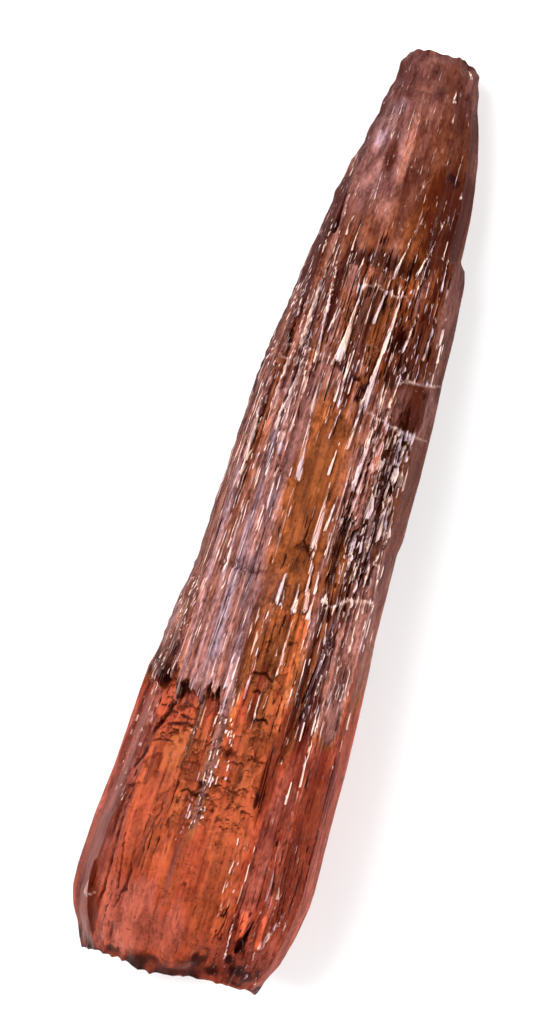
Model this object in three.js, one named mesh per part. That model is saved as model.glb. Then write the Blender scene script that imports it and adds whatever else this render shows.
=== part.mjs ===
// A rough tourmaline: one long gem crystal, etched and striated, broken off at its wide base and tapering to
// a blunt tip. It lies on the flat prism face at its back. Millimetres, +Z up. The length runs along X, from
// the broken base at -X to the tip at +X. Left (+Y) and right (-Y) are as seen from above with the tip
// pointing away.
import * as THREE from "three";
import { mergeVertices } from "three/addons/utils/BufferGeometryUtils.js";

// Driving dimensions
const LENGTH = 70;
const STATION_STEP = 1.1;
const FIBRE_RELIEF = 0.34;
const FIBRE_RUN = 9;
const SPLINTER_RELIEF = 0.4;
const SHINGLE_RELIEF = 0.22;
const BREAK_RELIEF = 0.55;
const BASE_HOLLOW = 0.5;
const TIP_BULGE = 0.3;
// The broken base leans towards the tip by this much for each millimetre up
const BASE_LEAN = 0.045;
// How much shorter the crystal is at its base, as [across, millimetres]
const BASE_SHORTER = [
  [-6, 0], [-4, -0.1], [-2, 0.05], [0, -0.1], [1.3, 0.3], [2.2, 0.65], [4.2, 0.6], [6, 0.1],
];

// Half widths of the crystal as [distance from the tip, half width], left side and right side
const LEFT_WIDTH = [
  [0, 2.2], [0.5, 2.35], [1.4, 2.5], [2.8, 2.6], [3.6, 3.0], [5.6, 3.1], [6.7, 3.5], [8.0, 3.65], [9.4, 4.05],
  [10.7, 4.2], [11.9, 4.55], [13.2, 4.7], [15.0, 4.9], [16.3, 5.15], [20.0, 5.5], [23.3, 5.95], [26.6, 6.3],
  [30.5, 6.5], [36.3, 6.7], [41.4, 6.85], [42.5, 7.1], [45.4, 7.45], [47.3, 7.6], [49.0, 7.95], [51.0, 8.1],
  [56.6, 8.3], [60.2, 8.65], [62.8, 8.75], [64.4, 8.8], [66.0, 8.7], [67.5, 8.3], [68.8, 7.6], [70.0, 6.9],
];
const RIGHT_WIDTH = [
  [0, 2.75], [0.5, 3.0], [1.4, 3.25], [3.2, 3.7], [4.5, 4.15], [7.0, 4.8], [9.0, 5.15], [11.7, 5.5],
  [14.6, 5.65], [15.1, 6.1], [16.0, 6.35], [20.0, 6.7], [23.3, 6.8], [26.9, 7.05], [30.5, 7.2], [35.3, 7.3],
  [36.3, 7.15], [43.0, 7.35], [44.9, 7.55], [48.1, 7.75], [52.3, 7.95], [57.3, 8.05], [61.5, 8.2],
  [62.6, 8.15], [65.3, 7.75], [67.5, 7.2], [68.8, 6.75], [70.0, 6.2],
];
// Thickness from the face that it lies on to the crest, and how far the underside lifts at the two ends
const HEIGHT = [
  [0, 4.2], [1.5, 5.0], [5, 5.9], [15, 8.1], [25, 9.6], [35, 10.6], [45, 11.5], [55, 12.2], [62, 12.4],
  [66, 11.8], [68.6, 10.6], [70, 9.4],
];
const UNDERSIDE = [[0, 0.9], [1.6, 0.25], [4, 0], [65.5, 0], [68, 0.35], [70, 1.2]];

// The cross-section's corners, going round from the left flank over the top, as [across, up] shares of the
// half width and the height, at the tip, the middle and the base, and how many fibres each face has.
const CORNERS = [
  { name: "left flank", tip: [-1, 0.4], middle: [-1, 0.4], base: [-1, 0.38], fibres: 4 },
  { name: "left shoulder", tip: [-0.8, 0.66], middle: [-0.86, 0.73], base: [-0.87, 0.76], fibres: 7 },
  { name: "left top", tip: [-0.42, 0.9], middle: [-0.48, 0.94], base: [-0.45, 0.95], fibres: 7 },
  { name: "crest", tip: [0.02, 1], middle: [0, 1], base: [0.06, 1], fibres: 7 },
  { name: "right top", tip: [0.5, 0.88], middle: [0.46, 0.94], base: [0.62, 0.92], fibres: 6 },
  { name: "right shoulder", tip: [0.82, 0.66], middle: [0.85, 0.73], base: [0.91, 0.7], fibres: 4 },
  { name: "right flank", tip: [1, 0.42], middle: [1, 0.42], base: [1, 0.42], fibres: 4 },
  { name: "right lower", tip: [0.8, 0.14], middle: [0.84, 0.12], base: [0.83, 0.1], fibres: 4 },
  { name: "right foot", tip: [0.5, 0], middle: [0.58, 0], base: [0.62, 0], fibres: 8 },
  { name: "left foot", tip: [-0.52, 0], middle: [-0.6, 0], base: [-0.6, 0], fibres: 4 },
  { name: "left lower", tip: [-0.82, 0.14], middle: [-0.86, 0.13], base: [-0.88, 0.14], fibres: 4 },
];

// The lower front has lost its striated skin. This is the skin's ragged lower edge, as [across, distance
// from the tip].
const SKIN_EDGE = [
  [-9, 47.4], [-7.2, 47.6], [-6.5, 48.4], [-5.6, 49.0], [-5.3, 49.8], [-4.9, 49.0], [-3.8, 49.8],
  [-3.4, 49.2], [-2.5, 49.0], [-2.1, 49.9], [-1.6, 52.0], [-0.9, 51.2], [-0.6, 47.0], [0.2, 43.5],
  [1.6, 42.6], [2.1, 50], [2.7, 62], [9, 66],
];
const WINDOW_DEPTH = 0.65;
const LEAST_WINDOW_DEPTH = 0.2;
const WINDOW_SLOPE = 0.04;
const WINDOW_EDGE_WIDTH = 0.9;

// Shallow bare recesses in the skin higher up, each from one [distance from the tip, across] to another
const RECESSES = [
  { from: [27.8, 0.3], to: [40.5, -0.4], width: 2.6, depth: 0.35 },
  { from: [37.3, 0.7], to: [42.5, 0.6], width: 1.5, depth: 0.4 },
  { from: [34.8, 2.9], to: [40.5, 2.9], width: 1.3, depth: 0.45 },
  { from: [18.3, 0.2], to: [23.6, 0.3], width: 1.8, depth: 0.25 },
];

// Long grooves and raised blades, given in the same way
const GROOVES = [
  { from: [42.2, 4.4], to: [52.6, 3.2], width: 0.7, depth: 0.45 },
  { from: [34, 5.2], to: [41, 4.9], width: 0.8, depth: 0.4 },
  { from: [64.1, 4.4], to: [67.1, 3.9], width: 0.8, depth: 0.8 },
  { from: [49, -5], to: [57.8, -7.2], width: 0.5, depth: 0.3 },
  { from: [58, -6.2], to: [67.5, -5.8], width: 0.5, depth: 0.3 },
  { from: [12.1, -3.75], to: [14.9, -3.85], width: 0.6, depth: 0.3 },
];
const BLADES = [
  { from: [19.6, -0.7], to: [24.3, -0.95], width: 0.66, depth: -0.45 },
  { from: [18, 2.1], to: [22.9, 1.9], width: 0.4, depth: -0.45 },
  { from: [21, 1.95], to: [30.4, 1.4], width: 0.5, depth: -0.45 },
  { from: [17.9, -3.55], to: [24.2, -3.75], width: 0.5, depth: -0.4 },
  { from: [27.4, -1.75], to: [33.4, -1.35], width: 0.5, depth: -0.3 },
  { from: [27.8, 2.75], to: [34.5, 3], width: 0.5, depth: -0.4 },
  { from: [28, 3.7], to: [36.8, 4.7], width: 0.5, depth: -0.45 },
  { from: [32, 0.9], to: [42.3, 1.7], width: 0.5, depth: -0.35 },
  { from: [57, 4.5], to: [62.8, 4.9], width: 0.4, depth: -0.25 },
  { from: [62.5, 6.5], to: [66.4, 5.1], width: 0.5, depth: -0.4 },
];

const FEATURES = [...RECESSES, ...GROOVES, ...BLADES];
const smooth = THREE.MathUtils.smoothstep;
const mix = THREE.MathUtils.lerp;

// A repeatable number from 0 to 1 for a pair of whole numbers
function chance(a, b) {
  const wave = Math.sin(a * 127.1 + b * 311.7) * 43758.5453;
  return wave - Math.floor(wave);
}

// Smooth noise from 0 to 1 over a plane
function noise(x, y, seed) {
  const column = Math.floor(x);
  const row = Math.floor(y);
  const right = smooth(x - column, 0, 1);
  const up = smooth(y - row, 0, 1);
  const at = (a, b) => chance(column + a + 17 * seed, row + b);
  return mix(mix(at(0, 0), at(1, 0), right), mix(at(0, 1), at(1, 1), right), up);
}

// The value at x of a line through [x, value] points
function along(points, x) {
  const last = points[points.length - 1];
  if (x <= points[0][0]) return points[0][1];
  if (x >= last[0]) return last[1];
  const next = points.findIndex((point) => point[0] > x);
  const [x0, v0] = points[next - 1];
  const [x1, v1] = points[next];
  return mix(v0, v1, (x - x0) / (x1 - x0));
}

// A corner's shares at a distance from the tip
function cornerAt(corner, fromTip) {
  const share = fromTip / LENGTH;
  const [a, b] = share < 0.5 ? [corner.tip, corner.middle] : [corner.middle, corner.base];
  const part = (share * 2) % 1;
  return share < 1 ? [mix(a[0], b[0], part), mix(a[1], b[1], part)] : corner.base;
}

// The fibres that run the crystal's length, each on one face of the section
const FIBRES = CORNERS.flatMap((corner, face) =>
  Array.from({ length: corner.fibres }, (_, n) => ({ face, share: n / corner.fibres })),
);

// Where a fibre stands on the smooth section, in millimetres across and up, and the way out of the face there
function onSection(fibre, fromTip) {
  const corner = cornerAt(CORNERS[fibre.face], fromTip);
  const next = cornerAt(CORNERS[(fibre.face + 1) % CORNERS.length], fromTip);
  const low = along(UNDERSIDE, fromTip);
  const tall = along(HEIGHT, fromTip) - low;
  const place = ([across, up]) =>
    new THREE.Vector2(across * along(across < 0 ? LEFT_WIDTH : RIGHT_WIDTH, fromTip), low + up * tall);
  const from = place(corner);
  const to = place(next);
  const way = to.clone().sub(from).normalize();
  return { point: from.lerp(to, fibre.share), out: new THREE.Vector2(-way.y, way.x) };
}

// How far a straight feature, such as a groove or a blade, moves the surface in at a place on the front
function feature({ from, to, width, depth }, fromTip, across) {
  const run = (fromTip - from[0]) / (to[0] - from[0]);
  const off = Math.abs(across - mix(from[1], to[1], THREE.MathUtils.clamp(run, 0, 1)));
  const ends = smooth(run, -0.08, 0.08) * (1 - smooth(run, 0.9, 1.06));
  return depth * ends * (1 - smooth(off, 0.4 * width, 0.4 * width + 0.45));
}

// How far the bare lower front lies below the skin
function windowDepth(fromTip, across) {
  const past = fromTip - along(SKIN_EDGE, across);
  const fade = 1 - smooth(across, 1.6, 3);
  const depth = Math.max(LEAST_WINDOW_DEPTH, WINDOW_DEPTH - WINDOW_SLOPE * Math.max(past, 0));
  return fade * smooth(past, 0, WINDOW_EDGE_WIDTH) * depth;
}

// Each fibre stands a little proud or sunk, and steps to another height at breaks along its length
function fibreRelief(index, fromTip) {
  const start = chance(index, 5) * FIBRE_RUN;
  const run = (fromTip + start) / FIBRE_RUN;
  const piece = Math.floor(run);
  const blend = smooth(run - piece, 0.88, 1);
  const height = mix(chance(index, piece), chance(index, piece + 1), blend);
  return FIBRE_RELIEF * (height - 0.72);
}

// How far the surface moves out at a place, on a face that looks along out
function relief(index, fromTip, point, out) {
  const front = smooth(out.y, 0.05, 0.4);
  const rests = smooth(-out.y, 0.9, 1);
  const flank = smooth(Math.abs(out.x), 0.75, 0.95);
  const ends = smooth(fromTip, 0, 3) * (1 - smooth(fromTip, LENGTH - 2, LENGTH));
  const around = Math.atan2(point.x, point.y);
  const splinters = flank * smooth(fromTip, 8, 16) * (noise(around * 4, fromTip / 1.6, 1) - 0.6);
  const shingles = noise(point.x / 1.3, fromTip / 1.5, 2) - 0.5;
  const window = windowDepth(fromTip, point.x);
  let move = fibreRelief(index, fromTip) * mix(1, 0.5, flank) + SPLINTER_RELIEF * splinters;
  move += SHINGLE_RELIEF * shingles * Math.min(1, window * 3);
  move *= (1 - rests) * mix(0.4, 1, ends);
  return move - front * (window + FEATURES.reduce((sum, item) => sum + feature(item, fromTip, point.x), 0));
}

// A broken end's roughness, along the crystal's length
function chips(y, z) {
  return BREAK_RELIEF * (noise(y / 1.9, z / 1.9, 3) + 0.6 * noise(y / 0.9, z / 0.9, 4) - 0.8);
}

// How far the broken base is set back towards the tip, fading out up the crystal
function baseSetBack(fromTip, across, z) {
  const lean = BASE_LEAN * z * smooth(fromTip, LENGTH - 10, LENGTH);
  return lean + along(BASE_SHORTER, across) * smooth(fromTip, LENGTH - 4, LENGTH);
}

// A point of the crystal's side
function sidePoint(index, fromTip) {
  const { point, out } = onSection(FIBRES[index], fromTip);
  point.addScaledVector(out, relief(index, fromTip, point, out));
  const atBreak = fromTip === 0 || fromTip === LENGTH ? 1 : 0;
  const broken = atBreak * chips(-point.x, point.y) + baseSetBack(fromTip, point.x, point.y);
  return new THREE.Vector3(LENGTH / 2 - fromTip + broken, -point.x, point.y);
}

// A point inside one of the two broken ends, share of the way from its middle to its rim
function endPoint(index, { fromTip, share, bulge }) {
  const rim = sidePoint(index, fromTip);
  const low = along(UNDERSIDE, fromTip);
  const middleZ = mix(low, along(HEIGHT, fromTip), 0.5);
  const middleY = (along(LEFT_WIDTH, fromTip) - along(RIGHT_WIDTH, fromTip)) / 2;
  const y = mix(middleY, rim.y, share);
  const z = mix(middleZ, rim.z, share);
  const x = LENGTH / 2 - fromTip + baseSetBack(fromTip, -y, z) + bulge * (1 - share * share);
  return new THREE.Vector3(x + chips(y, z), y, z);
}

// The crystal's rings, from the middle of the broken base along the side to the middle of the tip
const BREAKS = [3.1, 3.6, 14.7, 15.15, 42.2, 47.5, 49.3];
const EVEN_STATIONS = Array.from({ length: Math.floor(LENGTH / STATION_STEP) }, (_, n) => n * STATION_STEP);
const clearOfBreaks = (place) => BREAKS.every((b) => Math.abs(b - place) > 0.3);
const STATIONS = [...EVEN_STATIONS.filter(clearOfBreaks), ...BREAKS, LENGTH].sort((a, b) => b - a);
const RINGS = [
  ...[0, 0.25, 0.5, 0.75].map((share) => ({ fromTip: LENGTH, share, bulge: BASE_HOLLOW })),
  ...STATIONS.map((fromTip) => ({ fromTip, share: 1 })),
  ...[0.65, 0.35, 0].map((share) => ({ fromTip: 0, share, bulge: TIP_BULGE })),
];

// A lathe of unit rings, pole to pole, whose points are then moved to their places on the crystal
function crystalGeometry() {
  const profile = RINGS.map((ring, n) => new THREE.Vector2(ring.share, n));
  const lathe = new THREE.LatheGeometry(profile, FIBRES.length);
  const position = lathe.getAttribute("position");
  for (let n = 0; n < position.count; n++) {
    const index = Math.floor(n / RINGS.length) % FIBRES.length;
    const ring = RINGS[n % RINGS.length];
    const place = ring.share === 1 ? sidePoint(index, ring.fromTip) : endPoint(index, ring);
    position.setXYZ(n, place.x, place.y, place.z);
  }
  lathe.deleteAttribute("normal");
  lathe.deleteAttribute("uv");
  const closed = mergeVertices(lathe, 1e-3);
  closed.computeBoundingBox();
  const { min, max } = closed.boundingBox;
  closed.translate(-(min.x + max.x) / 2, -(min.y + max.y) / 2, -min.z);
  closed.computeVertexNormals();
  return closed;
}

const material = new THREE.MeshStandardMaterial({ color: 0x8a4630, roughness: 0.3, flatShading: true });
const crystal = new THREE.Mesh(crystalGeometry(), material);
crystal.name = "tourmaline_crystal";

const tourmaline = new THREE.Group();
tourmaline.add(crystal);
export default tourmaline;
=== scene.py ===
"""A rough tourmaline: one long gem crystal, etched and striated, lying on a pale floor."""
import math

import bmesh
import bpy
import numpy as np
from bpy.props import FloatProperty, FloatVectorProperty, IntProperty, PointerProperty
from mathutils import Matrix, Vector


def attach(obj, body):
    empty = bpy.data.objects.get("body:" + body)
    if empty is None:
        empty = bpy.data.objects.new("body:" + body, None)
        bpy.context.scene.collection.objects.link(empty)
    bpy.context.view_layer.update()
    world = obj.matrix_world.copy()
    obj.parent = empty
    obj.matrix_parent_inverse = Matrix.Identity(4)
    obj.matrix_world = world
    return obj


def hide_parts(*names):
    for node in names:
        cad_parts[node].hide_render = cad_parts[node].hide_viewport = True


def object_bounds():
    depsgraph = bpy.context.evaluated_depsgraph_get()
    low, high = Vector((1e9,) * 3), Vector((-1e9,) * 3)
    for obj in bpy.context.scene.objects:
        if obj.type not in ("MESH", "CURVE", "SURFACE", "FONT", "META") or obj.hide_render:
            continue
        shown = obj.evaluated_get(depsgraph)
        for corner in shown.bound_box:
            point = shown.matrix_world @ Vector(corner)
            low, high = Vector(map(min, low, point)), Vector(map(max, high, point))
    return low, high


bl_info = {
    "name": "Rough Tourmaline",
    "version": (1, 0, 0),
    "blender": (4, 5, 0),
    "location": "3D View > Sidebar > Tourmaline",
    "description": "Builds an etched tourmaline crystal around its packed model, with a studio stage",
    "category": "Add Mesh",
}

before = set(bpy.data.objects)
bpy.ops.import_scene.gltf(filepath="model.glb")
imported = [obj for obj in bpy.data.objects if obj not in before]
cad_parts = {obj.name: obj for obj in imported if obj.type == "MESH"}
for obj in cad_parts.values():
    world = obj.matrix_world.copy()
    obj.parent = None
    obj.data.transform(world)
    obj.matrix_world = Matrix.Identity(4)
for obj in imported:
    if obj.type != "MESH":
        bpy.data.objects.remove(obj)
CAD_LOW, CAD_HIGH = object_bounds()
NODE = "tourmaline_crystal"
MM = 0.001

# The index of refraction of tourmaline
REFRACTION = 1.63
# In metres: vertices nearer than this are welded, and the floor lies this far below the crystal
WELD = 2e-6
FLOOR_GAP = 0.0001
# The two lamps' places and sizes, in metres. Their powers are the stage's settings of the same names.
LAMPS = (("key", (0.05, 0.25, 0.24), 0.32), ("fill", (0.02, -0.28, 0.24), 0.2))
# The room's brightness from the horizon to overhead
ROOM_SHADES = ((0.5, (1, 1, 1)), (0.82, (0.08, 0.08, 0.09)))
# The camera: its lens and sensor, the photograph's height and the crystal's length in it in pixels, how far
# the crystal is turned, and the place in the picture's middle, from the tip, across and up
LENS, SENSOR = 120, 36
PHOTO_HEIGHT = 1024
CRYSTAL_PIXELS = 966
TURN = math.radians(16.28)
VIEW_CENTRE = (35.7, -1.95, 5.0)

# Places on the crystal are in millimetres: the distance from the tip, and the distance across from the middle
# line, which is negative on the left as seen from above with the tip pointing away.
LENGTH = 70.0
# How far the base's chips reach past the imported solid
BASE_PAST = 0.15
# The width to each side of the middle line, as (from the tip, width)
LEFT_WIDTH = (
    (0, 2.2), (0.5, 2.35), (1.4, 2.5), (2.8, 2.6), (3.6, 3), (5.6, 3.1), (6.7, 3.5), (8, 3.65), (9.4, 4.05),
    (10.7, 4.2), (11.9, 4.55), (13.2, 4.7), (15, 4.9), (16.3, 5.15), (20, 5.5), (23.3, 5.95), (26.6, 6.3),
    (30.5, 6.5), (36.3, 6.7), (41.4, 6.85), (42.5, 7.1), (45.4, 7.45), (47.3, 7.6), (49, 7.95), (51, 8.1),
    (56.6, 8.3), (60.2, 8.65), (62.8, 8.75), (64.4, 8.8), (66, 8.7), (67.5, 8.3), (68.8, 7.6), (70, 6.9),
)
RIGHT_WIDTH = (
    (0, 2.75), (0.5, 3), (1.4, 3.25), (3.2, 3.7), (4.5, 4.15), (7, 4.8), (9, 5.15), (11.7, 5.5),
    (14.6, 5.65), (15.1, 6.1), (16, 6.35), (20, 6.7), (23.3, 6.8), (26.9, 7.05), (30.5, 7.2), (35.3, 7.3),
    (36.3, 7.15), (43, 7.35), (44.9, 7.55), (48.1, 7.75), (52.3, 7.95), (57.3, 8.05), (61.5, 8.2),
    (62.6, 8.15), (65.3, 7.75), (67.5, 7.2), (68.8, 6.75), (70, 6.2),
)
# How much shorter the crystal is at its base and at its tip, as (across, length)
BASE_SHORTER = ((-6, 0), (-4, -0.1), (-2, 0.1), (0, -0.15), (1.3, 0.35), (2.2, 0.75), (4.2, 0.7), (6, 0.1))
TIP_SHORTER = (
    (-2.5, 1), (-2.1, 0.7), (-1.7, 0.45), (-0.7, 0.4), (0.8, 0.45), (1.4, 0.3), (1.9, 0.2), (2.6, 0.45),
)
# How high its top and its underside are, as (from the tip, height)
HEIGHT = (
    (0, 4.2), (1.5, 5), (5, 5.9), (15, 8.1), (25, 9.6), (35, 10.6), (45, 11.5), (55, 12.2), (62, 12.4),
    (66, 11.8), (68.6, 10.6), (70, 9.4),
)
UNDERSIDE = ((0, 0.9), (1.6, 0.25), (4, 0), (65.5, 0), (68, 0.35), (70, 1.2))

# The section's corners, from the left flank over the top: shares of the half width and of the height, at the
# tip, in the middle and at the base, and how many lines of the mesh stand on the face that follows
CORNERS = (
    ((-1, 0.4), (-1, 0.4), (-1, 0.38), 14),
    ((-0.8, 0.66), (-0.86, 0.73), (-0.87, 0.76), 40),
    ((-0.42, 0.9), (-0.48, 0.94), (-0.45, 0.95), 48),
    ((0.02, 1), (0, 1), (0.06, 1), 50),
    ((0.5, 0.88), (0.46, 0.94), (0.62, 0.92), 38),
    ((0.82, 0.66), (0.85, 0.73), (0.91, 0.7), 14),
    ((1, 0.42), (1, 0.42), (1, 0.42), 12),
    ((0.8, 0.14), (0.84, 0.12), (0.83, 0.1), 8),
    ((0.5, 0), (0.58, 0), (0.62, 0), 14),
    ((-0.52, 0), (-0.6, 0), (-0.6, 0), 8),
    ((-0.82, 0.14), (-0.86, 0.13), (-0.88, 0.14), 12),
)
# The share of a face, beside each of its corners, that is rounded
ROUNDED = 0.12
# The rings of the mesh come in equal parts: how many parts lie before each distance from the tip. They stand
# closest in the bare window.
RING_PARTS = ((0, 0), (13, 11), (44, 42), (60, 68), (70, 76))
# The rings that close each end, as shares of the way from its middle out
END_SHARES = (0.0, 0.08, 0.2, 0.35, 0.5, 0.65, 0.8, 0.92)

# The ragged lower edge of the striated skin, as (across, from the tip)
SKIN_EDGE = (
    (-9, 49.6), (-7.2, 49.4), (-6.7, 49.3), (-6.3, 48.5), (-5.6, 49), (-5.3, 49.8), (-4.9, 49),
    (-3.8, 49.8), (-3.4, 49.2), (-2.5, 49), (-2.1, 49.9), (-1.6, 52), (-0.9, 51.2), (-0.6, 47), (0.2, 43.5),
    (1.6, 42.6), (2.1, 50), (2.7, 62), (9, 66),
)
# Bare recesses below the skin besides the large one: from the tip and across at the upper end, the same at
# the lower end, the width and the depth
RECESSES = (
    (27.8, 0.3, 40.5, -0.4, 2.6, 0.35), (37.3, 0.7, 42.5, 0.6, 1.5, 0.4), (34.8, 2.9, 40.5, 2.9, 1.3, 0.45),
    (18.3, 0.2, 23.6, 0.3, 1.8, 0.25),
)

# Raised blades whose pale walls are painted glints: from the tip and across at the point, the same at the
# blunt end, the greatest width, the height and how pale
BLADES = (
    (13.1, 1.8, 17.6, 1.15, 0.26, 0.22, 0.8), (13.4, 3.4, 17, 2.7, 0.2, 0.18, 0.8),
    (18.2, -0.75, 21.6, -0.8, 0.2, 0.3, 0.95), (19.6, -0.7, 24.3, -0.95, 0.66, 0.45, 1),
    (18, 2.1, 22.9, 1.9, 0.36, 0.45, 1), (21, 1.95, 27.4, 1.65, 0.5, 0.5, 1),
    (25.8, 1.6, 30.4, 1.35, 0.4, 0.35, 0.9), (17.9, 1.05, 21.1, 0.7, 0.34, 0.3, 0.9),
    (18, 0.22, 21.2, 0.15, 0.16, 0.2, 0.7), (19.3, 3.5, 22.4, 3.25, 0.22, 0.3, 0.9),
    (17.9, -3.55, 24.2, -3.75, 0.5, 0.4, 0.85), (18.4, -4.35, 23, -4.2, 0.18, 0.25, 0.6),
    (16.8, -2.9, 22.6, -2.5, 0.26, 0.3, 0.8), (2.9, 1.8, 3.8, 1.9, 0.3, 0.15, 1),
    (4.5, 2.1, 5.2, 2.1, 0.25, 0.12, 0.9), (9.8, 4.2, 10.4, 4.3, 0.35, 0.15, 1),
    (0.9, 2.4, 1.6, 2.6, 0.3, 0.1, 0.8), (7.2, 1.5, 11, 1.35, 0.16, 0.08, 0.4),
    (21, -2.6, 24.8, -2.5, 0.32, 0.3, 0.8), (19.1, -1.8, 22.3, -2.2, 0.16, 0.2, 0.8),
    (19.3, -4.85, 21.8, -4.75, 0.16, 0.2, 0.7), (19.2, 5, 22.6, 4.95, 0.16, 0.2, 0.7),
    (22.3, 2.6, 24.9, 2.5, 0.15, 0.2, 0.8), (22.5, 3.6, 26.2, 3.4, 0.2, 0.28, 0.8),
    (23.4, 4, 27.8, 4.2, 0.5, 0.35, 0.75), (25, -0.35, 27.2, -0.4, 0.2, 0.22, 0.9),
    (27, 0.25, 29.9, -0.1, 0.2, 0.22, 1), (24.6, -1.7, 28.6, -1.8, 0.36, 0.25, 0.55),
    (25, -3.1, 28.8, -3.6, 0.5, 0.3, 0.6), (24.4, -4.3, 28.9, -4.45, 0.5, 0.3, 0.6),
    (27.2, -3.3, 31.8, -3.2, 0.56, 0.2, 0.5), (27.4, -1.75, 33.4, -1.35, 0.5, 0.3, 0.7),
    (28, -5.3, 33.2, -5.2, 0.3, 0.3, 0.7), (29.8, 0.82, 32.3, 0.65, 0.26, 0.25, 1),
    (27.8, 2.75, 32.4, 2.6, 0.42, 0.4, 0.75), (28, 3.6, 31.2, 3.45, 0.5, 0.45, 0.85),
    (30, 4, 34.4, 3.9, 0.36, 0.4, 0.85), (28, 4.45, 30.4, 4.35, 0.26, 0.3, 0.8),
    (31.6, 4.3, 36.8, 4.75, 0.34, 0.35, 0.7), (29, 5.25, 31.6, 5.1, 0.36, 0.35, 0.8),
    (31.3, 3.2, 34.5, 3, 0.44, 0.35, 0.7), (32, 0.9, 37.7, 1.05, 0.5, 0.35, 0.6),
    (36.4, 1.05, 39.4, 1.4, 0.3, 0.3, 0.6), (33, 1.75, 36.1, 1.45, 0.28, 0.3, 0.8),
    (38.2, 1.35, 42.3, 1.7, 0.44, 0.35, 0.75), (33.4, -1.45, 39.5, -1.45, 0.3, 0.22, 0.5),
    (39, -0.3, 42.4, 0, 0.34, 0.3, 0.7), (34.5, 5.7, 37.8, 5.55, 0.2, 0.25, 0.8),
    (37.3, 4.9, 39.8, 4.6, 0.16, 0.2, 0.8), (42.3, 1.1, 46.1, 1.2, 0.36, 0.2, 0.6),
    (46.3, 4.7, 50.1, 4.75, 0.14, 0.15, 0.7), (50, 4.75, 54, 4.85, 0.16, 0.18, 0.9),
    (53.6, 4.2, 55.4, 4.2, 0.18, 0.18, 1), (58.2, 3, 63.2, 2.95, 0.13, 0.15, 0.6),
    (62.6, 2.9, 68.3, 3.2, 0.14, 0.15, 0.7), (57, 4.5, 62.8, 4.9, 0.24, 0.25, 0.35),
    (62.5, 6.5, 66.4, 5.1, 0.46, 0.4, 0.4), (61, 5.3, 62.3, 5.5, 0.4, 0.3, 0.5),
    (63.1, -7.6, 66, -7.7, 0.42, 0.3, 0.45), (45.6, -2.2, 48.9, -2.1, 0.4, 0.15, 0.5),
    (3, -0.2, 11.5, -0.15, 0.14, 0.1, 0.45), (9.2, -1.7, 12.4, -1.7, 0.12, 0.1, 0.5),
    (11, 2.3, 13.9, 1.8, 0.12, 0.1, 0.6), (11, 3.75, 13.3, 3.4, 0.12, 0.1, 0.6),
    (40.3, 2.85, 41.1, 2.8, 0.8, 0.3, 1), (39.4, -0.3, 42.1, -0.4, 0.5, 0.3, 0.9),
    (40, 0.9, 42.5, 1, 0.45, 0.3, 0.85), (41, 2, 42.5, 2.05, 0.36, 0.25, 0.9),
    (38.6, 1.9, 40.6, 2, 0.3, 0.25, 0.7),
)
# Grooves: the same, with a negative height and how dark
GROOVES = (
    (42.2, 4.4, 48.8, 3.7, 0.7, -0.35, 0.1), (47, 3.75, 52.6, 3.15, 0.6, -0.3, 0.1),
    (42.3, 3.9, 48.8, 3.3, 0.2, -0.3, 1), (46.6, 2.2, 56.2, 2.25, 0.16, -0.15, 0.5),
    (47, 1.95, 51.7, 1.85, 0.14, -0.2, 0.7), (57, 4.3, 62, 5.1, 0.2, -0.2, 0.8),
    (49.1, -4.9, 53.6, -6.6, 0.4, -0.3, 0.85), (54, -6.3, 56, -7.1, 0.3, -0.2, 0.7),
    (64.1, 4.4, 67.1, 3.85, 0.75, -0.5, 1), (49.6, 2.3, 56.4, 2.45, 0.2, -0.15, 0.8),
    (37.5, -0.65, 39.6, -0.72, 0.15, -0.2, 0.9), (35.1, 0.45, 37.1, 0.36, 0.16, -0.2, 0.9),
    (34.5, 0.1, 36.3, 0.1, 0.14, -0.2, 0.8), (11.9, -3.75, 15.2, -3.9, 0.6, -0.35, 1),
    (55, -6.8, 66, -6.5, 0.26, -0.25, 0.5), (60, -6.2, 64.8, -5.6, 0.24, -0.25, 0.7),
    (60.2, -5.3, 64.9, -5.1, 0.24, -0.2, 0.6), (58, -4.4, 63, -4.3, 0.16, -0.12, 0.4),
)
# Half the width of a blade at its very point
THINNEST = 1e-6
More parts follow.
